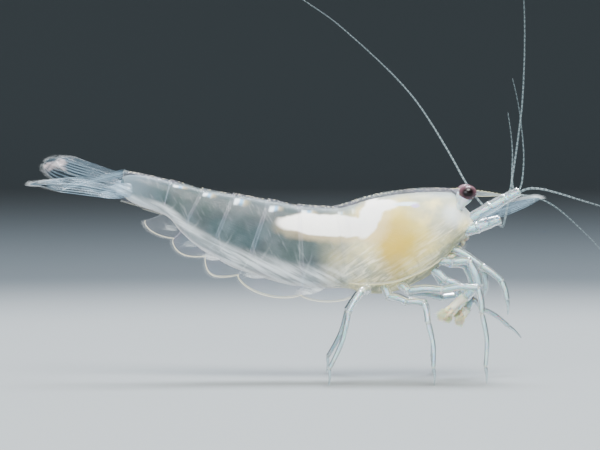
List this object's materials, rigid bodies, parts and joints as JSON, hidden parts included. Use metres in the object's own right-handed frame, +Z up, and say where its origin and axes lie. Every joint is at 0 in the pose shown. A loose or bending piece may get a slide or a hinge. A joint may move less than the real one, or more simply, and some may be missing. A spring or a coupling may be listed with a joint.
{
  "type": "aquarium shrimp model",
  "caption": "Life-size still model of a white translucent dwarf shrimp, standing on its legs with tail out straight, fan spread and feelers raised.",
  "frame": {"origin": "middle of the underside of the whole animal's box, on the plane the feet stand on", "axes": "+X towards the head, +Y to the animal's left, +Z up"},
  "size_m": [0.0366, 0.0176, 0.0299],
  "materials": {
    "shell": "glossy, milky and see-through",
    "limb": "glossy, nearly clear",
    "fin": "glossy, clear with fine ribs",
    "feeler": "satin, finely ringed",
    "eye": "high gloss"
  },
  "bodies": {
    "root": {"antenna_base_left": "shell", "antenna_base_right": "shell", "antenna_left": "feeler", "antenna_right": "feeler", "antennal_scale_left": "fin", "antennal_scale_right": "fin", "antennule_inner_left": "feeler", "antennule_inner_right": "feeler", "antennule_outer_left": "feeler", "antennule_outer_right": "feeler", "antennule_stalk_left": "shell", "antennule_stalk_right": "shell", "breast": "shell", "carapace": "shell", "eye_left": "eye", "eye_right": "eye", "eyestalk_left": "shell", "eyestalk_right": "shell", "leg1_left": "limb", "leg1_right": "limb", "leg2_left": "limb", "leg2_right": "limb", "leg3_left": "limb", "leg3_right": "limb", "leg4_left": "limb", "leg4_right": "limb", "leg5_left": "limb", "leg5_right": "limb", "maxilliped_left": "limb", "maxilliped_right": "limb", "rostrum": "shell", "swimmeret_1_left": "fin", "swimmeret_1_right": "fin", "swimmeret_2_left": "fin", "swimmeret_2_right": "fin", "swimmeret_3_left": "fin", "swimmeret_3_right": "fin", "swimmeret_4_left": "fin", "swimmeret_4_right": "fin", "swimmeret_5_left": "fin", "swimmeret_5_right": "fin", "tail_segment_1": "shell", "tail_segment_2": "shell", "tail_segment_3": "shell", "tail_segment_4": "shell", "tail_segment_5": "shell", "tail_segment_6": "shell", "telson": "fin", "uropod_inner_left": "fin", "uropod_inner_right": "fin", "uropod_outer_left": "fin", "uropod_outer_right": "fin"}
  },
  "joints": []
}
